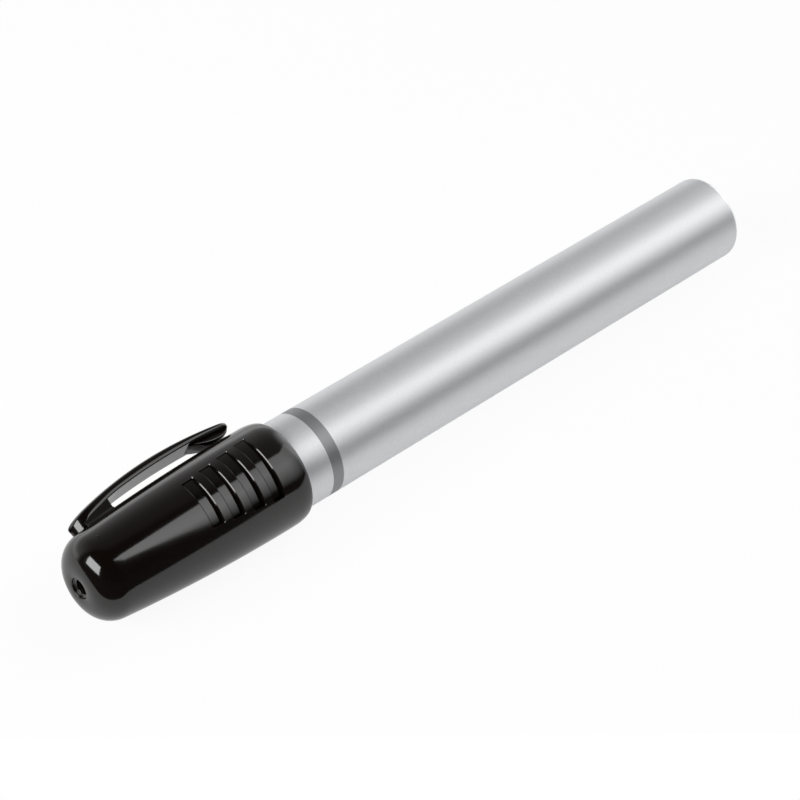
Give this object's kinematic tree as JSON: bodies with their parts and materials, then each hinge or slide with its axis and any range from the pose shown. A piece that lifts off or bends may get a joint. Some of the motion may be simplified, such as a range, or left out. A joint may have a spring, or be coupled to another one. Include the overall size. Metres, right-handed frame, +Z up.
{
  "type": "permanent marker",
  "caption": "Capped permanent marker: closed metal barrel with fibre reservoir and bullet nib, and a push-on black cap with grip slots and a springy pocket clip.",
  "frame": {"origin": "centre of the barrel's flat closed end", "axes": "+X along the marker's axis, out of the closed end, with the cap toward -X; +Z up as the marker lies; the clip points toward +Y and up"},
  "size_m": [0.1294, 0.0192, 0.0164],
  "materials": {
    "barrel_aluminium": "satin, with one plain printed grey ring",
    "holder_plastic": "moulded, fine matt",
    "nib_fibre": "bonded fibre, soaked black",
    "reservoir_fibre": "bonded fibre, soaked black",
    "wrap_film": "clear film",
    "cap_plastic": "moulded, high gloss",
    "seal_plastic": "moulded, waxy"
  },
  "bodies": {
    "marker_body": {"barrel": "barrel_aluminium", "nib_holder": "holder_plastic", "nib": "nib_fibre", "reservoir": "reservoir_fibre", "reservoir_wrap": "wrap_film"},
    "cap": {"cap_shell": "cap_plastic", "inner_cap": "seal_plastic"},
    "clip": {"pocket_clip": "cap_plastic"}
  },
  "joints": [
    {"name": "cap_pull", "type": "slide", "parent": "marker_body", "child": "cap", "axis": [-1, 0, 0], "range_m": [0, 0.04]},
    {"name": "clip_flex", "type": "hinge", "parent": "cap", "child": "clip", "pos_m": [-0.1193, 0.00832, 0.00397], "axis": [0, -0.4305, 0.9026], "range_deg": [0, 6], "stiffness_Nm_per_rad": 0.02}
  ]
}
